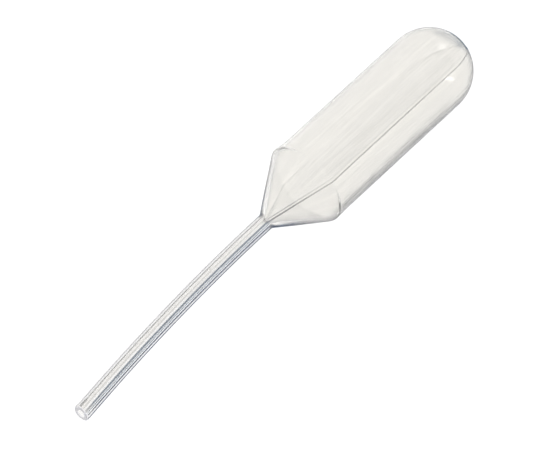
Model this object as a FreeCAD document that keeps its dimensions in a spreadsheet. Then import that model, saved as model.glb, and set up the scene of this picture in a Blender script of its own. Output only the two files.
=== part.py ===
import FreeCAD, Part
import Sketcher
import math
import os
from FreeCAD import Placement, Rotation, Vector

# A dropper pipette, moulded in one piece from soft clear plastic.
# It lies on a table: the bulb is a capsule along +X, and the thin stem runs to -X from a cone,
# sagging until the rim of its open tip touches the table. The origin is below the middle of its box.
# Inside the body everything is measured from the small end of the cone, on the axis of the bulb.

doc = FreeCAD.newDocument("DropperPipette")

sheet = doc.addObject("Spreadsheet::Sheet", "Sizes")
sizes = [
    ("bulb_diameter", 22.0, "outside of the bulb"),
    ("bulb_length", 48.0, "shoulder to the start of the dome"),
    ("cone_length", 15.0, "small end of the cone to the shoulder"),
    ("bead_height", 0.15, "how far the shoulder stands proud of the bulb"),
    ("bead_length", 3.5, "run-out of the proud shoulder along the bulb"),
    ("neck_length", 2.0, "straight start of the stem beside the cone"),
    ("stem_diameter", 4.4, "outside of the stem"),
    ("stem_reach", 68.3, "small end of the cone to the tip, along the table"),
    ("tip_straight", 8.0, "straight end of the stem"),
    ("bore_diameter", 2.1, "bore of the stem"),
    ("bulb_wall", 0.45, "wall of the bulb and its dome"),
    ("shoulder_wall", 0.8, "wall at the shoulder"),
    ("wall_runout", 11.0, "shoulder to where the wall has thinned"),
    ("cavity_start", 0.4, "small end of the cone to where the bore opens out"),
    ("neck_rounding", 0.8, "outside rounding between stem and cone"),
    ("shoulder_rounding", 0.7, "outside rounding of the shoulder"),
    ("inner_rounding", 1.2, "rounding inside the neck and the shoulder"),
    ("tip_rounding", 0.3, "rounding of the outer rim of the tip"),
    ("seam_height", 0.12, "how far the parting line stands proud of bulb and cone"),
    ("seam_width", 0.35, "width of the parting line on bulb and cone"),
    ("stem_seam_height", 0.08, "how far the parting line stands proud of the stem"),
    ("stem_seam_width", 0.25, "width of the parting line on the stem"),
    ("seam_angle", 48.8, "roll of the parting plane from upright, in degrees"),
]
for row, (alias, value, note) in enumerate(sizes, start=1):
    sheet.set(f"A{row}", alias)
    sheet.set(f"B{row}", str(value))
    sheet.set(f"C{row}", note)
    sheet.setAlias(f"B{row}", alias)
doc.recompute()

BULB_RADIUS = "Sizes.bulb_diameter / 2"
STEM_RADIUS = "Sizes.stem_diameter / 2"
BORE_RADIUS = "Sizes.bore_diameter / 2"
SHOULDER_RADIUS = "Sizes.bulb_diameter / 2 + Sizes.bead_height"
SEAM_ROOT = "Sizes.bulb_wall / 2"       # the ribs are rooted half way into the thinnest wall

body = doc.addObject("PartDesign::Body", "Pipette")
body.Label = "pipette"


def value_of(expression):
    """The number an expression on the sheet stands for now."""
    return float(body.evalExpression(expression))


def origin_feature(role):
    """A plane or an axis of the body's own origin, such as XZ_Plane."""
    return next(item for item in body.Origin.OriginFeatures if item.Role == role)


def new_sketch(name, role, roll_axis=Vector(0, 0, 1)):
    """A sketch on an origin plane, free to be rolled about an axis of its own."""
    sketch = body.newObject("Sketcher::SketchObject", name)
    sketch.AttachmentSupport = [(origin_feature(role), "")]
    sketch.MapMode = "FlatFace"
    sketch.AttachmentOffset = Placement(Vector(), Rotation(roll_axis, 0))
    return sketch


def drive(sketch, name, expression, kind, *geometry):
    """Add a dimension and tie it to the sheet."""
    index = sketch.addConstraint(Sketcher.Constraint(kind, *geometry, value_of(expression)))
    sketch.renameConstraint(index, name)
    sketch.setExpression(f"Constraints.{name}", expression)


def relate(sketch, kind, *geometry):
    sketch.addConstraint(Sketcher.Constraint(kind, *geometry))


def start(edge):
    """The start of a line or an arc, as the sketcher counts points."""
    return edge, 1


def end(edge):
    return edge, 2


def centre(edge):
    return edge, 3


def sketch_origin():
    return -1, 1


def along_x():
    """The sketch's horizontal axis."""
    return (-1,)


def along_y():
    """The sketch's vertical axis."""
    return (-2,)


def outline_side(sketch, label, tube, foot_run, shoulder, belly, belly_run):
    """One side of the bulb's outline, from the end of the neck to the middle of the dome.

    tube, shoulder and belly are radii; foot_run is where the cone starts, from the end of the
    neck, and belly_run is how far past the shoulder the radius has become that of the belly.
    """
    neck = value_of("Sizes.neck_length")
    cone = value_of("Sizes.cone_length")
    dome = cone + value_of("Sizes.bulb_length")
    radius = value_of(belly)
    corners = [
        Vector(-neck, value_of(tube), 0),
        Vector(value_of(foot_run) - neck, value_of(tube), 0),
        Vector(cone, value_of(shoulder), 0),
        Vector(cone + value_of(belly_run), radius, 0),
        Vector(dome, radius, 0),
    ]
    lines = []
    for first, last in zip(corners, corners[1:]):
        lines.append(sketch.addGeometry(Part.LineSegment(first, last)))
    collar, cone_side, shoulder_side, side = lines
    circle = Part.Circle(Vector(dome, 0, 0), Vector(0, 0, 1), radius)
    arc = sketch.addGeometry(Part.ArcOfCircle(circle, 0, math.pi / 2))

    relate(sketch, "Coincident", *end(collar), *start(cone_side))
    relate(sketch, "Coincident", *end(cone_side), *start(shoulder_side))
    relate(sketch, "Coincident", *end(shoulder_side), *start(side))
    relate(sketch, "Tangent", *end(side), *end(arc))
    relate(sketch, "PointOnObject", *start(arc), *along_x())
    relate(sketch, "PointOnObject", *centre(arc), *along_x())
    relate(sketch, "Horizontal", collar)
    relate(sketch, "Horizontal", side)
    drive(sketch, f"{label}_neck", "Sizes.neck_length", "DistanceX", *start(collar), *sketch_origin())
    drive(sketch, f"{label}_tube", tube, "DistanceY", *sketch_origin(), *start(collar))
    drive(sketch, f"{label}_foot", foot_run, "DistanceX", *start(collar), *end(collar))
    drive(sketch, f"{label}_cone", "Sizes.cone_length", "DistanceX", *sketch_origin(), *end(cone_side))
    drive(sketch, f"{label}_shoulder", shoulder, "DistanceY", *sketch_origin(), *end(cone_side))
    drive(sketch, f"{label}_run", belly_run, "DistanceX", *start(shoulder_side), *end(shoulder_side))
    drive(sketch, f"{label}_belly", belly, "DistanceY", *sketch_origin(), *start(side))
    drive(sketch, f"{label}_bulb", "Sizes.bulb_length", "DistanceX", *end(cone_side), *end(side))
    return collar, arc


def link(sketch, first, last):
    """A straight edge between the starts of two pieces of an outline."""
    points = [sketch.getPoint(*start(first)), sketch.getPoint(*start(last))]
    edge = sketch.addGeometry(Part.LineSegment(*points))
    relate(sketch, "Coincident", *start(edge), *start(first))
    relate(sketch, "Coincident", *end(edge), *start(last))
    return edge


def half_outline(name, tube, foot_run, shoulder, belly, belly_run):
    """Half of an outline of the bulb, closed along its axis, for turning about that axis."""
    sketch = new_sketch(name, "XZ_Plane")
    collar, arc = outline_side(sketch, "outline", tube, foot_run, shoulder, belly, belly_run)
    tube_start = sketch.getPoint(*start(collar))
    end_face = sketch.addGeometry(Part.LineSegment(Vector(tube_start.x, 0, 0), tube_start))
    relate(sketch, "Coincident", *end(end_face), *start(collar))
    relate(sketch, "PointOnObject", *start(end_face), *along_x())
    relate(sketch, "Vertical", end_face)
    link(sketch, end_face, arc)
    return sketch


def seam_band():
    """Half of the rib round the bulb, from its root inside the wall to its crest."""
    sketch = new_sketch("SeamBand", "XZ_Plane", Vector(1, 0, 0))
    sketch.setExpression("AttachmentOffset.Rotation.Angle", "Sizes.seam_angle")
    ends = []
    for label, step in [("crest", "+ Sizes.seam_height"), ("root", f"- {SEAM_ROOT}")]:
        ends.append(
            outline_side(
                sketch,
                label,
                f"{STEM_RADIUS} {step}",
                "Sizes.neck_length",
                f"{SHOULDER_RADIUS} {step}",
                f"{BULB_RADIUS} {step}",
                "Sizes.bead_length",
            )
        )
    for crest_end, root_end in zip(*ends):
        link(sketch, crest_end, root_end)
    return sketch


def stem_path():
    """Centre line of the stem: one bend, then a straight end whose rim meets the table."""
    sketch = new_sketch("StemPath", "XZ_Plane")
    neck = value_of("Sizes.neck_length")
    reach = value_of("Sizes.stem_reach")
    straight = value_of("Sizes.tip_straight")
    stem_radius = value_of(STEM_RADIUS)
    floor = value_of(SHOULDER_RADIUS)
    half_turn = (floor - stem_radius) / (reach - neck + straight)
    turn = 2 * math.atan(half_turn)
    bend = (reach - neck - straight * math.cos(turn)) / math.sin(turn)
    bend_centre = Vector(-neck, -bend, 0)
    bend_end = bend_centre + Vector(-math.sin(turn), math.cos(turn), 0) * bend
    tip = bend_end + Vector(-math.cos(turn), -math.sin(turn), 0) * straight
    rim = tip + Vector(math.sin(turn), -math.cos(turn), 0) * stem_radius

    circle = Part.Circle(bend_centre, Vector(0, 0, 1), bend)
    arc = sketch.addGeometry(Part.ArcOfCircle(circle, math.pi / 2, math.pi / 2 + turn))
    line = sketch.addGeometry(Part.LineSegment(bend_end, tip))
    rim_line = sketch.addGeometry(Part.LineSegment(tip, rim), True)
    relate(sketch, "PointOnObject", *start(arc), *along_x())
    relate(sketch, "Vertical", *start(arc), *centre(arc))
    relate(sketch, "Tangent", *end(arc), *start(line))
    relate(sketch, "Coincident", *end(line), *start(rim_line))
    relate(sketch, "Perpendicular", line, rim_line)
    drive(sketch, "neck_length", "Sizes.neck_length", "DistanceX", *start(arc), *sketch_origin())
    drive(sketch, "tip_straight", "Sizes.tip_straight", "Distance", *start(line), *end(line))
    drive(sketch, "stem_reach", "Sizes.stem_reach", "DistanceX", *end(line), *sketch_origin())
    drive(sketch, "stem_radius", STEM_RADIUS, "Distance", *start(rim_line), *end(rim_line))
    drive(sketch, "floor_depth", SHOULDER_RADIUS, "DistanceY", *end(rim_line), *sketch_origin())
    return sketch


def section(name):
    """A sketch square to the stem, where the straight neck ends and the bend starts."""
    sketch = new_sketch(name, "YZ_Plane")
    sketch.setExpression("AttachmentOffset.Base.z", "-Sizes.neck_length")
    return sketch


def round_section(name, radius):
    sketch = section(name)
    circle = Part.Circle(Vector(), Vector(0, 0, 1), value_of(radius))
    ring = sketch.addGeometry(circle)
    relate(sketch, "Coincident", *centre(ring), *sketch_origin())
    drive(sketch, "radius", radius, "Radius", ring)
    return sketch


def seam_section(name, side):
    """One rib of the parting line on the stem, sunk into its wall; side is 1 or -1."""
    sketch = section(name)
    sketch.setExpression("AttachmentOffset.Rotation.Angle", "Sizes.seam_angle")
    foot = f"{STEM_RADIUS} - {SEAM_ROOT}"
    crest = f"{STEM_RADIUS} + Sizes.stem_seam_height"
    half_width = value_of("Sizes.stem_seam_width") / 2
    low = value_of(foot) * side
    high = value_of(crest) * side
    corners = [
        Vector(-half_width, low, 0),
        Vector(half_width, low, 0),
        Vector(half_width, high, 0),
        Vector(-half_width, high, 0),
    ]
    for number in range(4):
        sketch.addGeometry(Part.LineSegment(corners[number], corners[(number + 1) % 4]))
    for number in range(4):
        relate(sketch, "Coincident", *end(number), *start((number + 1) % 4))
    foot_line, right, crest_line, left = range(4)
    relate(sketch, "Horizontal", foot_line)
    relate(sketch, "Vertical", right)
    relate(sketch, "Vertical", left)
    relate(sketch, "Symmetric", *start(crest_line), *end(crest_line), *along_y())
    drive(sketch, "width", "Sizes.stem_seam_width", "DistanceX", *start(foot_line), *end(foot_line))
    if side > 0:
        drive(sketch, "foot", foot, "DistanceY", *sketch_origin(), *start(foot_line))
        drive(sketch, "crest", crest, "DistanceY", *sketch_origin(), *start(crest_line))
    else:
        drive(sketch, "foot", foot, "DistanceY", *start(foot_line), *sketch_origin())
        drive(sketch, "crest", crest, "DistanceY", *start(crest_line), *sketch_origin())
    return sketch


def turn_about_axis(kind, name, profile):
    feature = body.newObject(kind, name)
    feature.Profile = profile
    feature.ReferenceAxis = (profile, ["H_Axis"])
    feature.Angle = 360
    return feature


def sweep(kind, name, profile, path, edges):
    feature = body.newObject(kind, name)
    feature.Profile = profile
    feature.Spine = (path, edges)
    return feature


def round_edge(name, alias, middle, radius):
    """Round the circular edge of the body with this middle and radius."""
    doc.recompute()
    base = body.Tip
    near = 0.01
    found = [
        f"Edge{number}"
        for number, edge in enumerate(base.Shape.Edges, start=1)
        if not edge.Degenerated
        and isinstance(edge.Curve, Part.Circle)
        and (edge.Curve.Center - middle).Length < near
        and abs(edge.Curve.Radius - radius) < near
    ]
    if not found:
        raise RuntimeError(f"{name}: no such edge")
    fillet = body.newObject("PartDesign::Fillet", name)
    fillet.Base = (base, found)
    fillet.setExpression("Radius", f"Sizes.{alias}")
    return fillet


# The outside: capsule and cone turned in one, then the stem swept along its path.
outside = half_outline(
    "Outside", STEM_RADIUS, "Sizes.neck_length", SHOULDER_RADIUS, BULB_RADIUS, "Sizes.bead_length"
)
turn_about_axis("PartDesign::Revolution", "Bulb", outside)
path = stem_path()
stem_section = round_section("StemSection", STEM_RADIUS)
sweep("PartDesign::AdditivePipe", "Stem", stem_section, path, ["Edge1", "Edge2"])
round_edge("NeckRounding", "neck_rounding", Vector(), value_of(STEM_RADIUS))
shoulder_centre = Vector(value_of("Sizes.cone_length"), 0, 0)
round_edge("ShoulderRounding", "shoulder_rounding", shoulder_centre, value_of(SHOULDER_RADIUS))
straight_start = path.getPoint(*start(1))
straight_end = path.getPoint(*end(1))
tip_centre = Vector(straight_end.x, 0, straight_end.y)
tip_turn = math.atan2(straight_start.y - straight_end.y, straight_start.x - straight_end.x)
round_edge("TipRounding", "tip_rounding", tip_centre, value_of(STEM_RADIUS))

# The hollow: the bulb's cavity narrows through the cone into the bore, which is open at the tip.
inside = half_outline(
    "Inside",
    BORE_RADIUS,
    "Sizes.neck_length + Sizes.cavity_start",
    f"{BULB_RADIUS} - Sizes.shoulder_wall",
    f"{BULB_RADIUS} - Sizes.bulb_wall",
    "Sizes.wall_runout",
)
doc.recompute()
full_volume = body.Shape.Volume
turn_about_axis("PartDesign::Groove", "Cavity", inside)
sweep("PartDesign::SubtractivePipe", "Bore", round_section("BoreSection", BORE_RADIUS), path, ["Edge1", "Edge2"])
foot_centre = Vector(value_of("Sizes.cavity_start"), 0, 0)
round_edge("InnerNeckRounding", "inner_rounding", foot_centre, value_of(BORE_RADIUS))
inner_shoulder = value_of(f"{BULB_RADIUS} - Sizes.shoulder_wall")
round_edge("InnerShoulderRounding", "inner_rounding", shoulder_centre, inner_shoulder)

# The parting line: a low rib round the bulb in the rolled parting plane, and down the bend of the stem.
seam = body.newObject("PartDesign::Pad", "BulbSeam")
seam.Profile = seam_band()
seam.SideType = "Symmetric"
seam.setExpression("Length", "Sizes.seam_width")
both = body.newObject("PartDesign::PolarPattern", "BulbSeams")
both.Originals = [seam]
both.Axis = (origin_feature("X_Axis"), [""])
both.Angle = 360
both.Occurrences = 2
body.Tip = both
for name, side in [("Near", 1), ("Far", -1)]:
    rib_section = seam_section(f"StemSeam{name}Section", side)
    sweep("PartDesign::AdditivePipe", f"StemSeam{name}", rib_section, path, ["Edge1"])

doc.recompute()

for item in doc.Objects:
    if "Invalid" in item.State or "Error" in item.State:
        raise RuntimeError(f"{item.Name} failed: {item.State}")
if body.Shape.isNull() or not body.Shape.isValid() or len(body.Shape.Solids) != 1:
    raise RuntimeError("the pipette is not one valid solid")
if body.Shape.Volume > 0.5 * full_volume:
    raise RuntimeError("the hollow was not cut")

# The pipette is set down on the table, with the origin under the middle of its box.
box = body.Shape.optimalBoundingBox()
body.Placement = Placement(Vector(-box.Center.x, -box.Center.y, -box.ZMin), Rotation())
doc.recompute()

os.makedirs("parts", exist_ok=True)
body.Shape.exportStep(os.path.join("parts", body.Label + ".step"))
box = body.Shape.optimalBoundingBox()
print("size", round(box.XLength, 2), round(box.YLength, 2), round(box.ZLength, 2))
print("low corner", box.XMin, box.YMin, box.ZMin)
print("wall", round(body.Shape.Volume, 1), "mm3, hollow", round(full_volume - body.Shape.Volume, 1), "mm3")
print("stem end", body.Placement.multVec(tip_centre))
print("stem end turned down by", round(math.degrees(tip_turn), 3), "degrees")
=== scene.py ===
import bpy
import math
from itertools import accumulate
from types import SimpleNamespace
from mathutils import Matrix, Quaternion, Vector


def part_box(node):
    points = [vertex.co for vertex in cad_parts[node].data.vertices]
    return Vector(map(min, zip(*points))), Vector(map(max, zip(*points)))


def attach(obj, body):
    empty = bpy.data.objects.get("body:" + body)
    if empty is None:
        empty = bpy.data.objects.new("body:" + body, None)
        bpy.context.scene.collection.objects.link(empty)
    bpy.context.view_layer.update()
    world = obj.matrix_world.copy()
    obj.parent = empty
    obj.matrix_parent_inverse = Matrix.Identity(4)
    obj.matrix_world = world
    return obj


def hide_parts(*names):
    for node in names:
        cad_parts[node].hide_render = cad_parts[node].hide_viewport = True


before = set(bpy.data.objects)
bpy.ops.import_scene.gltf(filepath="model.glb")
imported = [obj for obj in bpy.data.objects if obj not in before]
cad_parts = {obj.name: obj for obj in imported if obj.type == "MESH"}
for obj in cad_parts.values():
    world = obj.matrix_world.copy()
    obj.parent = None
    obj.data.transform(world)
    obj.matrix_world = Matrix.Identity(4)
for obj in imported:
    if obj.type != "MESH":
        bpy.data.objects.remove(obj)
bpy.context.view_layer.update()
low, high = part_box("pipette")
print("frame loaded")

centimetre = 0.01
millimetre = 0.001
tolerance = 1e-7
fullTurn = 360              # degrees
nearlyStraight = 179.5

# sizes in metres and turns in degrees; places along the bulb are counted from the small end of the cone
shape = {
    "bulbRadius": 0.0110,
    "bulbLength": 0.0468,
    "domeLength": 0.01155,      # a little longer than a half ball
    "endGap": 0.00065,          # left free at the far end of the measured box
    "coneLength": 0.0150,
    "coneSwell": 0.00012,
    "swellPlace": 0.4,          # where the cone swells, as a share of its length
    "swellRounding": 0.02,
    "beadHeight": 0.000129,
    "beadLength": 0.0035,
    "beadRounding": 0.004,
    "humpHeight": 0.00021,      # the shoulder bulges a little more on one side
    "humpTurn": -62,
    "humpLength": 0.0022,
    "humpNarrowness": 24,
    "neckLength": 0.0020,
    "stemRadius": 0.00217,
    "stemReach": 0.0683,
    "tipStraight": 0.0080,
    "tipSway": 0.0003,          # the open end drifts this far towards +Y
    "swaySpan": (0.3, 1.4),     # from where to where it drifts, in lengths of the bend
    "squareLength": 0.005,      # the last stretch, which leans until the open end stands upright
    "boreRadius": 0.00105,
    "bulbWall": 0.00045,
    "shoulderWall": 0.0008,
    "wallRunout": 0.0110,
    "wallRounding": 0.03,
    "cavityStart": 0.0004,
    "neckRounding": 0.0009,
    "shoulderRounding": 0.0007,
    "innerRounding": 0.0012,
    "cavityRounding": 0.0030,
    "tipRounding": 0.0003,
    "boreRounding": 0.00012,
    "seamTurn": 48.8,           # degrees from upright, towards -Y
    "seamHeight": 0.000119,
    "farSeam": 0.25,            # how much of that height the seam on the other side has
    "seamWidth": 0.00035,
    "seamCrest": 0.2,           # the ridge's flat top and its foot, in widths from its middle
    "seamFoot": 0.75,
    "stemSeamHeight": 0.00008,
    "stemSeamWidth": 0.00025,
    "seamThinning": 0.003,      # the stretch of stem over which the seam becomes that thin
    "seamRunout": 0.002,        # it ends before the stem's last straight stretch
    "plainRings": 12,           # the rings beside the open end that carry no seam at all
    "ringSpacing": 0.0016,
    "domeRings": 36,
    "columnSteps": [(0.15, 8), (0.4, 8), (0.8, 8), (2.2, 36)],  # degrees and how many, in a quarter turn
}


def smooth(value, start, stop):
    t = min(1, max(0, (value - start) / (stop - start)))
    return t * t * (3 - 2 * t)


def roundedRun(corners, steps=6):
    # a run of (length, radius, rounding) corners, each with its rounding as an arc
    points = [Vector(corners[0][:2])]
    for before, corner, after in zip(corners, corners[1:], corners[2:]):
        here = Vector(corner[:2])
        toBefore = (Vector(before[:2]) - here).normalized()
        toAfter = (Vector(after[:2]) - here).normalized()
        opening = toBefore.angle(toAfter)
        if corner[2] == 0 or opening > math.radians(nearlyStraight):
            points.append(here)
            continue
        setback = corner[2] / math.tan(opening / 2)
        middle = here + (toBefore + toAfter).normalized() * corner[2] / math.sin(opening / 2)
        first = here + toBefore * setback - middle
        last = here + toAfter * setback - middle
        sweep = math.pi - opening
        for step in range(steps + 1):
            t = step / steps
            arm = first * math.sin((1 - t) * sweep) + last * math.sin(t * sweep)
            points.append(middle + arm / math.sin(sweep))
    points.append(Vector(corners[-1][:2]))
    return points


def splitLong(points, longest):
    # long straight stretches get more rings, for the bend and the parting line
    result = [points[0]]
    for first, last in zip(points, points[1:]):
        count = max(1, math.ceil((last - first).length / longest))
        for step in range(1, count + 1):
            result.append(first.lerp(last, step / count))
    return result


def domeRun(middle, length, radius, steps):
    # from near the pole of the dome round to its foot, without the pole itself
    points = []
    for step in range(1, steps + 1):
        angle = math.pi / 2 * step / steps
        points.append(Vector((middle + length * math.cos(angle), radius * math.sin(angle))))
    return points


def pipetteOutline(s, stemEnd):
    # the outside from the dome to the open end, then the inside back to the dome
    domeMiddle = s["coneLength"] + s["bulbLength"]
    innerRadius = s["bulbRadius"] - s["bulbWall"]
    swellRadius = s["stemRadius"] + s["swellPlace"] * (s["bulbRadius"] - s["stemRadius"]) + s["coneSwell"]
    corners = [
        (domeMiddle, s["bulbRadius"], 0),
        (s["coneLength"] + s["beadLength"], s["bulbRadius"], s["beadRounding"]),
        (s["coneLength"], s["bulbRadius"] + s["beadHeight"], s["shoulderRounding"]),
        (s["coneLength"] * s["swellPlace"], swellRadius, s["swellRounding"]),
        (0, s["stemRadius"], s["neckRounding"]),
        (-stemEnd, s["stemRadius"], s["tipRounding"]),
        (-stemEnd, s["boreRadius"], s["boreRounding"]),
        (s["cavityStart"], s["boreRadius"], s["cavityRounding"]),
        (s["coneLength"], s["bulbRadius"] - s["shoulderWall"], s["innerRounding"]),
        (s["coneLength"] + s["wallRunout"], innerRadius, s["wallRounding"]),
        (domeMiddle, innerRadius, 0),
    ]
    body = splitLong(roundedRun(corners), s["ringSpacing"])
    outerDome = domeRun(domeMiddle, s["domeLength"], s["bulbRadius"], s["domeRings"])
    innerDome = domeRun(domeMiddle, s["domeLength"] - s["bulbWall"], innerRadius, s["domeRings"])
    return outerDome[:-1] + body + innerDome[-2::-1]


def columnTurns(s):
    # a full turn from the parting line; the columns are closest there and on the far side
    steps = [step for step, count in s["columnSteps"] for _ in range(count)]
    quarter = list(accumulate(steps, initial=0))
    half = quarter[:-1] + [180 - turn for turn in quarter[:0:-1]]
    return [math.radians(turn) for turn in half + [180 + turn for turn in half]]


def stemLine(s):
    # the stem sags in one arc, then runs straight until the rim of its open end meets the floor
    line = SimpleNamespace(turn=0)
    line.footX = high.x - s["endGap"] - s["domeLength"] - s["bulbLength"] - s["coneLength"]
    line.height = (low.z + high.z) / 2
    run = s["stemReach"] - s["neckLength"]
    for _ in range(8):      # the turn settles well before the last round
        drop = line.height - s["stemRadius"] / math.cos(line.turn)
        line.turn = 2 * math.atan(drop / (run + s["tipStraight"]))
    line.radius = (run - s["tipStraight"] * math.cos(line.turn)) / math.sin(line.turn)
    line.bendLength = line.radius * line.turn
    line.end = s["neckLength"] + line.bendLength + s["tipStraight"]
    return line


def centrePoint(s, line, along):
    # point on the centre line, and how far the line has turned down there
    past = -along - s["neckLength"]
    if past <= 0:
        return Vector((line.footX + along, 0, line.height)), 0
    turn = min(past / line.radius, line.turn)
    straight = max(0, past - line.bendLength)
    back = s["neckLength"] + line.radius * math.sin(turn) + straight * math.cos(turn)
    drop = line.radius * (1 - math.cos(turn)) + straight * math.sin(turn)
    sway = s["tipSway"] * smooth(past / line.bendLength, *s["swaySpan"])
    return Vector((line.footX - back, sway, line.height - drop)), turn


def squareOff(s, line, along, height):
    # how far a point near the open end slides along the stem, so that the end stands upright
    nearEnd = smooth(-along, line.end - s["squareLength"], line.end)
    return -height * math.tan(line.turn) * nearEnd


def proud(s, line, along, radius, turn):
    # how far the outer skin stands out of its plain round form
    onStem = smooth(-along, 0, s["seamThinning"])
    width = s["seamWidth"] + (s["stemSeamWidth"] - s["seamWidth"]) * onStem
    height = s["seamHeight"] + (s["stemSeamHeight"] - s["seamHeight"]) * onStem
    bendEnd = line.end - s["tipStraight"]
    height *= 1 - smooth(-along, bendEnd - s["seamRunout"], bendEnd)
    if math.cos(turn) < 0:
        height *= s["farSeam"]
    distance = radius * abs(math.remainder(turn, math.pi))
    ridge = height * (1 - smooth(distance, s["seamCrest"] * width, s["seamFoot"] * width))
    fromHump = turn + math.radians(s["seamTurn"] - s["humpTurn"])
    nearHump = max(0, math.cos(fromHump)) ** s["humpNarrowness"]
    nearShoulder = math.exp(-((along - s["coneLength"]) / s["humpLength"]) ** 2)
    return ridge + s["humpHeight"] * nearHump * nearShoulder


def skinPoints(s, line, outline, turns):
    # the points ring by ring; for the material, stroke holds the distance along in centimetres with the
    # cosine and sine of the turn from the parting line, and radius is in millimetres, 0 on the inner skin
    skin = SimpleNamespace(points=[], stroke=[], radius=[])
    tipRing = max(i for i, point in enumerate(outline) if point.x <= tolerance - line.end)
    for index, (along, radius) in enumerate(outline):
        middle, bend = centrePoint(s, line, along)
        up = Vector((-math.sin(bend), 0, math.cos(bend)))
        onward = Vector((-math.cos(bend), 0, -math.sin(bend)))
        for turn in turns:
            roll = turn + math.radians(s["seamTurn"])
            outward = up * math.cos(roll) - Vector((0, math.sin(roll), 0))
            reach = radius
            if index < tipRing - s["plainRings"]:
                reach += proud(s, line, along, radius, turn)
            slide = squareOff(s, line, along, reach * math.cos(roll))
            skin.points.append(middle + outward * reach + onward * slide)
            skin.stroke.append((along / centimetre, math.cos(turn), math.sin(turn)))
            skin.radius.append(reach / millimetre if index <= tipRing else 0)
    return skin


def tubeFaces(rings, columns):
    faces = []
    for ring in range(rings - 1):
        for column in range(columns):
            a = ring * columns + column
            b = ring * columns + (column + 1) % columns
            faces.append((a, a + columns, b + columns, b))
    return faces


def closeDome(skin, faces, ring, columns, pole, along):
    # a fan from the pole to the ring beside it, turned over on the inner skin
    centre = len(skin.points)
    skin.points.append(pole)
    skin.stroke.append((along / centimetre, 0, 0))
    skin.radius.append(0)
    for column in range(columns):
        a = ring * columns + column
        b = ring * columns + (column + 1) % columns
        faces.append((centre, a, b) if ring == 0 else (centre, b, a))


def buildPipette(s):
    line = stemLine(s)
    outline = pipetteOutline(s, line.end)
    turns = columnTurns(s)
    skin = skinPoints(s, line, outline, turns)
    faces = tubeFaces(len(outline), len(turns))
    domeMiddle = s["coneLength"] + s["bulbLength"]
    for ring, length in ((0, s["domeLength"]), (len(outline) - 1, s["domeLength"] - s["bulbWall"])):
        pole = centrePoint(s, line, domeMiddle + length)[0]
        closeDome(skin, faces, ring, len(turns), pole, domeMiddle + length)

    mesh = bpy.data.meshes.new("pipetteBody")
    mesh.from_pydata(skin.points, [], faces)
    mesh.attributes.new("stroke", "FLOAT_VECTOR", "POINT")
    mesh.attributes["stroke"].data.foreach_set("vector", [value for item in skin.stroke for value in item])
    mesh.attributes.new("skinRadius", "FLOAT", "POINT")
    mesh.attributes["skinRadius"].data.foreach_set("value", skin.radius)
    mesh.shade_smooth()
    mesh.validate()
    piece = bpy.data.objects.new("pipetteBody", mesh)
    bpy.context.collection.objects.link(piece)
    print("pipette built,", len(mesh.polygons), "faces, stem", round(line.end / millimetre, 2), "mm")
    return piece


class Nodes:
    # keeps the node lines short
    def __init__(self, tree):
        self.tree = tree

    def add(self, kind, **settings):
        node = self.tree.nodes.new("ShaderNode" + kind)
        for name, value in settings.items():
            setattr(node, name, value)
        return node

    def link(self, source, target):
        self.tree.links.new(source, target)

    def put(self, value, socket):
        if isinstance(value, bpy.types.NodeSocket):
            self.link(value, socket)
        else:
            socket.default_value = value

    def math(self, operation, *values):
        node = self.add("Math", operation=operation)
        for value, socket in zip(values, node.inputs):
            self.put(value, socket)
        return node.outputs[0]

    def product(self, first, *others):
        for other in others:
            first = self.math("MULTIPLY", first, other)
        return first

    def total(self, first, *others):
        for other in others:
            first = self.math("ADD", first, other)
        return first

    def largest(self, first, *others):
        for other in others:
            first = self.math("MAXIMUM", first, other)
        return first

    def inverse(self, value):
        return self.math("SUBTRACT", 1, value)

    def fit(self, value, span, ends=(0, 1)):
        node = self.add("MapRange", interpolation_type="SMOOTHSTEP")
        names = ("Value", "From Min", "From Max", "To Min", "To Max")
        for name, item in zip(names, (value, *span, *ends)):
            self.put(item, node.inputs[name])
        return node.outputs[0]

    def blend(self, factor, first, second, kind="MIX"):
        node = self.add("Mix", data_type="RGBA", blend_type=kind)
        for value, socket in zip((factor, first, second), (node.inputs[0], node.inputs[6], node.inputs[7])):
            self.put(value, socket)
        return node.outputs[2]

    def toned(self, color, tone):
        return self.blend(1, color, tone, "MULTIPLY")

    def tones(self, value, span, stops):
        # a ramp over a span that has 0 in its middle; a tone is a grey or a colour
        node = self.add("ValToRGB")
        ramp = node.color_ramp
        while len(ramp.elements) < len(stops):
            ramp.elements.new(0.5)
        for element, (place, tone) in zip(ramp.elements, stops):
            color = tone if isinstance(tone, tuple) else (tone, tone, tone)
            element.position = place / span + 0.5
            element.color = (*color, 1)
        self.link(self.total(self.math("DIVIDE", value, span), 0.5), node.inputs[0])
        return node.outputs[0]

    def mixShaders(self, share, first, second):
        node = self.add("MixShader")
        for value, socket in zip((share, first, second), node.inputs):
            self.link(value, socket)
        return node.outputs[0]


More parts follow.
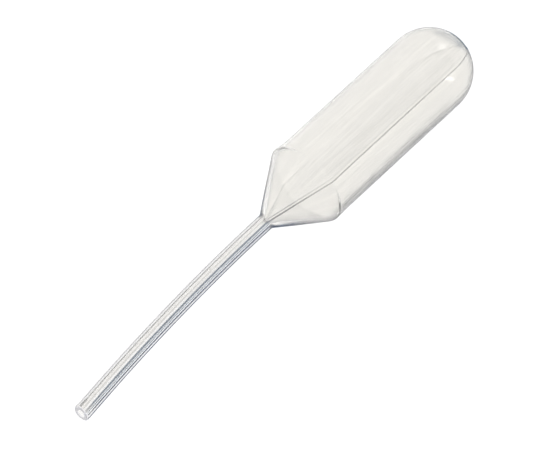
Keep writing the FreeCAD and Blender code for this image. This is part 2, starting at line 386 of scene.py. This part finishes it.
# An entry with two pairs is a fade: from where to where, then the values at both ends. Most places are
# centimetres from the small end of the cone, negative on the stem. Those named side are the sine of the turn
# from the parting line, and those named flank are 1 where the edge is darkest and -1 opposite.
clear = {
    "tint": (0.915, 0.905, 0.88, 1),
    "ior": 1.51,
    "patches": (0.3, 0.7),              # from polished patches to dull ones
    "roughness": (0.08, 0.15),
    "haze": (0.93, 0.91, 0.87, 1),
    "hazeShare": (0.05, 0.09),
    "shadow": (0.985, 0.985, 0.985, 1),
    "innerSkin": 0.1,                   # a skin radius under this marks the inner skin
    "shadeFlank": 60,                    # degrees from the parting line to the flank where the edges carry the most painted shade

    # where the look of one part gives way to the next
    "stemPart": ((-0.12, 0), (1, 0)),
    "conePart": ((1.2, 1.7), (1, 0)),
    "coneSeam": ((0.4, 1.7), (1, 0)),
    "domeEnd": ((6.9, 7.12), (0, 1)),
    "domeEndSide": ((-0.1, 0.4), (1, 0)),
    "openEnd": ((-6.895, -6.875), (1, 0)),
    "endFrost": 0.5,                    # the cut end of the stem is dull
    "endColor": (0.87, 0.86, 0.9, 1),

    "streaks": {
        "stretch": 0.02,                # along the piece, beside 1 round it
        "broad": (7, 3),                # scale and detail
        "fine": (30, 4),
        "depth": 0.0000035,
        "broadRelief": 0.15,
        "fineRelief": 0.6,
        "stemRelief": 0.1,              # the share of it that is left on the stem
        "share": ((0.4, 0.6), (0, 0.14)),   # how much of the tone the fine ones take on
        "tone": (0.6, 0.6, 0.6, 1),
    },

    "seam": {
        "span": 2,                      # how many millimetres the tones cover
        # millimetres from the parting line, and the tone there: painted shade in the dark lines and a painted
        # highlight in the bright ones
        "bulbShadeAndHighlight": [
            (-1, 1), (-0.96, 0.78), (-0.82, 0.78), (-0.68, 1.09),
            (-0.24, 1.09), (-0.15, 0.23), (0.03, 0.23), (0.13, 1.08),
            (0.7, 1.08), (1, 1),
        ],
        "coneShadeAndHighlight": [
            (-1, 1), (-0.92, (0.35, 0.35, 0.37)), (-0.74, (0.35, 0.35, 0.37)), (-0.64, 1.1),
            (-0.38, 1.1), (-0.3, (0.07, 0.07, 0.08)), (-0.06, (0.07, 0.07, 0.08)), (0.04, 1), (1, 1),
        ],
        # the lines are fainter along the middle of the far side, and toward the dome on the near side
        "farStart": ((1.8, 3), (0, 1)),
        "farStop": ((5, 6.2), (1, 0)),
        "farFaint": 0.6,
        "nearStart": ((4.6, 6), (0, 1)),
        "nearFaint": ((6.4, 7), (0.3, 0.85)),
    },

    # painted shade on the lower side of the dome
    "lowerDomeShade": {
        "start": ((5.6, 6.6), (0, 1)),
        "side": ((0.05, 0.5), (0, 1)),
        "tone": (0.955, 0.955, 0.955, 1),
    },

    "foldShade": {
        "start": ((1.445, 1.46), (0, 1)),
        "stop": ((1.485, 1.5), (1, 0)),
        # degrees from the parting line, and the tone there; the darker tones are painted shade along the fold
        "tones": [
            (-180, 0.75), (-135, 0.75), (-118, 0.6), (-90, 0.6), (-70, 1), (24, 1), (31, 0.8),
            (33.5, 0.01), (50, 0.01), (56, 0.5), (110, 0.75), (180, 0.75),
        ],
    },

    "stem": {
        # degrees from the parting line, and the tone there: painted bands of shade and light, standing for
        # what the bore refracts
        "tones": [
            (-180, 1), (-91, 1), (-90, 0.15), (-82, 0.15), (-79, 1), (-67, (1.05, 1.05, 1.04)),
            (-63, (0.08, 0.08, 0.07)), (-58.5, (0.08, 0.08, 0.07)), (-55.5, (0.95, 0.94, 0.92)),
            (-52, (1.09, 1.08, 1.06)), (-42, (1.09, 1.08, 1.06)),
            (-37, (0.65, 0.65, 0.64)), (-34, (0.65, 0.65, 0.64)),
            (-27, (1.05, 1.07, 1.09)), (-18, (1.05, 1.07, 1.09)),
            (-15.2, (0.07, 0.1, 0.15)), (-5.8, (0.07, 0.1, 0.15)),
            (-3.4, (1, 1.07, 1.12)), (0.8, (1, 1.07, 1.12)),
            (3, (0.01, 0.05, 0.15)), (6, (0.01, 0.05, 0.15)),
            (8, (1, 1.07, 1.12)), (12.6, (1, 1.07, 1.12)),
            (15.8, (0.002, 0.006, 0.026)), (24.3, (0.002, 0.006, 0.026)),
            (26, (1.07, 1.1, 1.13)), (40, (1.07, 1.1, 1.13)),
            (41.8, 0.004), (50, 0.004), (52, 0.9), (180, 1),
        ],
        # the painted bands grow darker toward the open end
        "darkerTowardTip": ((-4, -1), (0.93, 0.99)),
        "tint": (0.99, 0.995, 1.03, 1),
        "tipFaint": ((-6.9, -6.5), (0.3, 0)),
        # a small dark spot on one side of the stem near the open end
        "darkSpot": ((-6.7, -6.55), (0.8, 0)),
        "darkSpotTurn": -62,
        "darkSpotWidth": 10,              # to each side of its middle, in degrees
        "darkSpotTone": (0.1, 0.1, 0.1, 1),
    },

    # where the wall is seen edge on it goes dark, with painted shade that makes it darker and wider on one
    # flank, on the cone and at the dome's end, bluish there and at the neck; start, rim and soft count from
    # 0, square on, to 1, edge on
    "edges": {
        "color": (0.04, 0.045, 0.06, 1),
        "domeEdgeShade": (0.1, 0.15, 0.2, 1),
        "neckEdgeShade": (0.03, 0.06, 0.12, 1),
        "neckEdgeShadeEnd": ((0.2, 0.9), (1, 0)),
        "colorStart": ((0, 0.1), (0, 1)),
        "start": ((0.66, 1.0), (0, 1)),
        "share": ((0.2, 1.5), (0.8, 0.46)),
        "domeShare": 0.45,
        # how much sooner the edge goes dark, as painted shade
        "flankLean": ((0, 0.8), (0, 0.22)),
        "streakLean": ((0.35, 0.6), (0.35, 1.3)),
        "leanToDome": ((5.9, 6.7), (1, 0.45)),
        "domeLean": 0.24,
        "backLean": ((-0.6, 0), (-0.1, 0)),
        "coneLean": ((0, 1.3), (0.35, 0.15)),
        "coneFlank": ((-0.6, 0.5), (0.38, 1)),
        # a thin core right at the edge
        "rim": ((0.77, 0.92), (0, 1)),
        "rimShare": ((1.2, 1.7), (1, 0.45)),
        "rimFlank": ((-0.6, 0.4), (0.68, 1)),
        "rimDome": ((6.3, 6.9), (0, 0.35)),
        # a weak wide shade on the flank of the cone opposite the dark one
        "soft": ((0.3, 0.55), (0, 0.08)),
        "softFlank": ((-0.9, -0.7), (1, 0)),
        "insideCone": 0.4,              # the share of it that is left on the cone's inner skin
    },
}
plain = (1, 1, 1, 1)        # a tone that leaves the tint as it is


def skinPlaces(n, look):
    # where a point lies along and round the piece, and how much it is of each part
    at = SimpleNamespace()
    at.stroke = n.add("Attribute", attribute_name="stroke").outputs["Vector"]
    parts = n.add("SeparateXYZ")
    n.link(at.stroke, parts.inputs[0])
    at.along, at.cosine, at.side = parts.outputs
    at.degrees = n.math("DEGREES", n.math("ARCTAN2", at.side, at.cosine))
    aside = math.radians(look["shadeFlank"])
    at.flank = n.total(n.product(at.cosine, math.cos(aside)), n.product(at.side, math.sin(aside)))
    skinRadius = n.add("Attribute", attribute_name="skinRadius").outputs["Fac"]
    at.outside = n.math("GREATER_THAN", skinRadius, look["innerSkin"])
    mirrored = n.product(at.side, n.math("SIGN", at.cosine))
    at.fromSeam = n.product(n.math("ARCTAN2", mirrored, n.math("ABSOLUTE", at.cosine)), skinRadius)
    at.onStem = n.fit(at.along, *look["stemPart"])
    at.offStem = n.inverse(at.onStem)
    at.onCone = n.product(n.fit(at.along, *look["conePart"]), at.offStem)
    at.coneSeam = n.fit(at.along, *look["coneSeam"])
    # the dome's end on one side, where the edges get more painted shade
    at.domeEnd = n.product(n.fit(at.along, *look["domeEnd"]), n.fit(at.side, *look["domeEndSide"]))
    at.openEnd = n.fit(at.along, *look["openEnd"])
    return at


def drawnStreaks(n, at, stretch, scale, detail):
    # they run the length of the piece
    stretched = n.add("VectorMath", operation="MULTIPLY")
    n.link(at.stroke, stretched.inputs[0])
    stretched.inputs[1].default_value = (stretch, 1, 1)
    noise = n.add("TexNoise", noise_dimensions="3D")
    n.link(stretched.outputs[0], noise.inputs["Vector"])
    noise.inputs["Scale"].default_value = scale
    noise.inputs["Detail"].default_value = detail
    return noise.outputs[0]


def seamShadeAndHighlight(n, at, seam):
    # thin lines beside the parting line: painted shade beside the ridge and a painted highlight along it
    onBulb = n.tones(at.fromSeam, seam["span"], seam["bulbShadeAndHighlight"])
    onCone = n.tones(at.fromSeam, seam["span"], seam["coneShadeAndHighlight"])
    tones = n.blend(at.coneSeam, onBulb, onCone)
    farMiddle = n.product(n.fit(at.along, *seam["farStart"]), n.fit(at.along, *seam["farStop"]))
    farFaint = n.product(farMiddle, n.math("LESS_THAN", at.cosine, 0), seam["farFaint"])
    tones = n.blend(farFaint, tones, plain)
    towardDome = n.product(n.fit(at.along, *seam["nearStart"]), n.math("GREATER_THAN", at.cosine, 0))
    return n.blend(n.product(towardDome, n.fit(at.along, *seam["nearFaint"])), tones, plain)


def bulbShadeAndHighlight(n, at, look):
    # painted shade and highlight on the bulb: the seam's lines, the lower side of the dome and the fold
    tones = seamShadeAndHighlight(n, at, look["seam"])

    # painted shade: the dome is darker on its lower side
    dome = look["lowerDomeShade"]
    lowerShade = n.product(n.fit(at.along, *dome["start"]), n.fit(at.side, *dome["side"]))
    tones = n.blend(lowerShade, tones, n.toned(tones, dome["tone"]))

    # painted shade along the fold where the shoulder turns into the cone
    foldShade = look["foldShade"]
    atFoldShade = n.product(n.fit(at.along, *foldShade["start"]), n.fit(at.along, *foldShade["stop"]))
    return n.toned(tones, n.blend(atFoldShade, plain, n.tones(at.degrees, fullTurn, foldShade["tones"])))


def stemShadeAndLightBands(n, at, stem):
    # painted bands of shade and light, standing for what the bore refracts, that grow faint near the open
    # end, and one dark spot there
    tones = n.toned(n.tones(at.degrees, fullTurn, stem["tones"]), n.fit(at.along, *stem["darkerTowardTip"]))
    tones = n.toned(tones, stem["tint"])
    tones = n.blend(n.fit(at.along, *stem["tipFaint"]), tones, plain)
    # a small dark spot on one side of the stem near the open end
    nearDarkSpot = n.math("COMPARE", at.degrees, stem["darkSpotTurn"], stem["darkSpotWidth"])
    darkSpot = n.product(n.fit(at.along, *stem["darkSpot"]), nearDarkSpot)
    tones = n.blend(darkSpot, tones, stem["darkSpotTone"])
    return n.blend(at.openEnd, tones, plain)


def skinTint(n, at, look):
    # the painted lines and bands of shade and light lie in the outer skin, and fine streaks in both
    tones = n.blend(at.onStem, bulbShadeAndHighlight(n, at, look), stemShadeAndLightBands(n, at, look["stem"]))
    tint = n.blend(at.outside, look["tint"], n.toned(look["tint"], tones))
    streaks = look["streaks"]
    return n.blend(n.fit(at.fine, *streaks["share"]), tint, n.toned(tint, streaks["tone"]))


def edgeLean(n, at, edges):
    # painted shade: how much sooner the edge goes dark, most on one flank and on the cone
    lean = n.product(n.fit(at.flank, *edges["flankLean"]), n.fit(at.fine, *edges["streakLean"]))
    lean = n.product(lean, n.fit(at.along, *edges["leanToDome"]))
    lean = n.total(lean, n.product(at.domeEnd, edges["domeLean"]), n.fit(at.flank, *edges["backLean"]))
    coneLean = n.product(n.fit(at.along, *edges["coneLean"]), n.fit(at.flank, *edges["coneFlank"]))
    return n.total(lean, n.product(n.math("SUBTRACT", coneLean, lean), at.onCone))


def edgeDarkness(n, at, edges):
    # painted edge shade: the dark flank, the thin core at the edge and the soft shade, whichever is strongest
    facing = n.add("LayerWeight").outputs["Facing"]
    share = n.total(n.fit(at.along, *edges["share"]), n.product(at.domeEnd, edges["domeShare"]))
    flank = n.product(n.fit(n.total(facing, edgeLean(n, at, edges)), *edges["start"]), share)

    rimShare = n.product(n.fit(at.along, *edges["rimShare"]), at.offStem, n.fit(at.flank, *edges["rimFlank"]))
    rimShare = n.total(rimShare, n.fit(at.along, *edges["rimDome"]))
    rim = n.product(n.fit(facing, *edges["rim"]), rimShare)

    soft = n.product(n.fit(facing, *edges["soft"]), n.fit(at.flank, *edges["softFlank"]), at.onCone)
    insideCone = n.product(n.inverse(at.outside), at.coneSeam, at.offStem, 1 - edges["insideCone"])
    return n.product(n.largest(flank, rim, soft), n.inverse(insideCone))


def streakRelief(n, at, streaks):
    bump = n.add("Bump")
    bump.inputs["Strength"].default_value = 1
    bump.inputs["Distance"].default_value = streaks["depth"]
    ripple = n.total(n.product(at.broad, streaks["broadRelief"]), n.product(at.fine, streaks["fineRelief"]))
    calmStem = n.inverse(n.product(at.onStem, 1 - streaks["stemRelief"]))
    n.link(n.product(ripple, calmStem), bump.inputs["Height"])
    return bump.outputs[0]


def hazeColor(n, at, look, darkness):
    # pale in the wall, painted dark shade at its edges, bluish at the dome's end and the neck, and frosted at
    # the open end
    edges = look["edges"]
    edgeColor = n.blend(at.domeEnd, edges["color"], edges["domeEdgeShade"])
    edgeColor = n.blend(n.fit(at.along, *edges["neckEdgeShadeEnd"]), edgeColor, edges["neckEdgeShade"])
    color = n.blend(n.fit(darkness, *edges["colorStart"]), look["haze"], edgeColor)
    return n.blend(at.openEnd, color, look["endColor"])


def clearPlastic(look):
    material = bpy.data.materials.new("clearPolyethylene")
    material.use_nodes = True
    material.node_tree.nodes.clear()
    n = Nodes(material.node_tree)
    at = skinPlaces(n, look)
    at.broad = drawnStreaks(n, at, look["streaks"]["stretch"], *look["streaks"]["broad"])
    at.fine = drawnStreaks(n, at, look["streaks"]["stretch"], *look["streaks"]["fine"])

    glass = n.add("BsdfPrincipled")
    glass.inputs["IOR"].default_value = look["ior"]
    glass.inputs["Transmission Weight"].default_value = 1
    n.link(skinTint(n, at, look), glass.inputs["Base Color"])
    n.link(n.fit(at.broad, look["patches"], look["roughness"]), glass.inputs["Roughness"])
    n.link(streakRelief(n, at, look["streaks"]), glass.inputs["Normal"])

    darkness = edgeDarkness(n, at, look["edges"])
    haze = n.add("BsdfTranslucent")
    n.link(hazeColor(n, at, look, darkness), haze.inputs["Color"])
    wallHaze = n.fit(at.broad, look["patches"], look["hazeShare"])
    hazeShare = n.largest(wallHaze, darkness, n.product(at.openEnd, look["endFrost"]))
    wall = n.mixShaders(hazeShare, glass.outputs[0], haze.outputs[0])

    # light on its way to the floor passes with only a thin shadow
    shade = n.add("BsdfTransparent")
    shade.inputs["Color"].default_value = look["shadow"]
    path = n.add("LightPath")
    passing = n.largest(path.outputs["Is Shadow Ray"], path.outputs["Is Diffuse Ray"])
    surface = n.mixShaders(passing, wall, shade.outputs[0])
    n.link(surface, n.add("OutputMaterial").inputs["Surface"])
    print("clear plastic made,", len(material.node_tree.nodes), "nodes")
    return material


pipette = buildPipette(shape)
pipette.data.materials.append(clearPlastic(clear))
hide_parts("pipette")
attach(pipette, "root")


def direction(turn, height):
    # a turn of 0 is in front, at -Y, and the height is in degrees above the floor
    turn, height = math.radians(turn), math.radians(height)
    flat = math.cos(height)
    return Vector((math.sin(turn) * flat, -math.cos(turn) * flat, math.sin(height)))


studio = {
    "floorSize": 20,
    "floorColor": (0.95, 0.95, 0.95, 1),
    "floorRoughness": 0.9,
    "skyColor": (1, 1, 1, 1),
    "skyStrength": 1.0,
    # turn, height and half width in degrees, then the colour there
    "skyPatches": [
        (104, 2, 25, (0, 0.05, 0.15, 1)),
        (20, 40, 34, (0.45, 0.46, 0.48, 1)),
        (90, 43, 13, (2.4, 2.38, 2.35, 1)),
        (30, 9, 14, (1.6, 1.58, 1.5, 1)),
    ],
    "patchCore": 0.6,           # the share of its half width within which a patch has its full colour
    # turn, height, distance, size and power
    "lamps": {
        "overhead": (0, 63, 1.6, 0.9, 3.0),
        "window": (-132, 41, 1.2, 0.15, 2.6),
    },
}


def buildFloor(s):
    bpy.ops.mesh.primitive_plane_add(size=s["floorSize"], location=(0, 0, 0))
    floor = bpy.context.object
    floor.name = "floor"
    paper = bpy.data.materials.new("paleFloor")
    paper.use_nodes = True
    surface = paper.node_tree.nodes["Principled BSDF"]
    surface.inputs["Base Color"].default_value = s["floorColor"]
    surface.inputs["Roughness"].default_value = s["floorRoughness"]
    surface.inputs["Specular IOR Level"].default_value = 0
    floor.data.materials.append(paper)


def buildSky(s):
    # plain white with a few soft patches for the plastic to reflect
    world = bpy.data.worlds.new("studioWorld")
    world.use_nodes = True
    n = Nodes(world.node_tree)
    where = n.add("TexCoord").outputs["Generated"]
    color = s["skyColor"]
    for turn, height, spread, patch in s["skyPatches"]:
        toward = n.add("VectorMath", operation="DOT_PRODUCT")
        n.link(where, toward.inputs[0])
        toward.inputs[1].default_value = direction(turn, height)
        core = math.radians(spread * s["patchCore"])
        near = n.fit(toward.outputs["Value"], (math.cos(math.radians(spread)), math.cos(core)))
        color = n.blend(near, color, patch)
    backdrop = world.node_tree.nodes["Background"]
    n.link(color, backdrop.inputs[0])
    backdrop.inputs[1].default_value = s["skyStrength"]
    bpy.context.scene.world = world


def buildLamps(s):
    for name, (turn, height, distance, size, power) in s["lamps"].items():
        lampData = bpy.data.lights.new(name, "AREA")
        lampData.size = size
        lampData.energy = power
        lamp = bpy.data.objects.new(name, lampData)
        toLamp = direction(turn, height)
        lamp.location = toLamp * distance
        lamp.rotation_euler = toLamp.to_track_quat("Z", "Y").to_euler()
        bpy.context.collection.objects.link(lamp)


# degrees and metres, with the lens and its sensor in millimetres
view = {
    "turn": -49.90,
    "height": 50.56,
    "distance": 1.70,
    "lens": 468.6,
    "sensor": 36,
    "farthest": 20,
    "aim": (-0.002975, -0.001485),
    "roll": -0.09,
}


def buildCamera(v):
    data = bpy.data.cameras.new("camera")
    data.lens = v["lens"]
    data.sensor_width = v["sensor"]
    data.clip_end = v["farthest"]
    camera = bpy.data.objects.new("camera", data)
    back = direction(v["turn"], v["height"])
    target = Vector((*v["aim"], (low.z + high.z) / 2))
    camera.location = target + back * v["distance"]
    roll = Quaternion((0, 0, 1), math.radians(v["roll"]))
    camera.rotation_euler = (back.to_track_quat("Z", "Y") @ roll).to_euler()
    bpy.context.collection.objects.link(camera)
    bpy.context.scene.camera = camera


buildFloor(studio)
buildSky(studio)
buildLamps(studio)
print("studio built")
buildCamera(view)
print("camera set")
bpy.context.scene.view_settings.view_transform = "Standard"
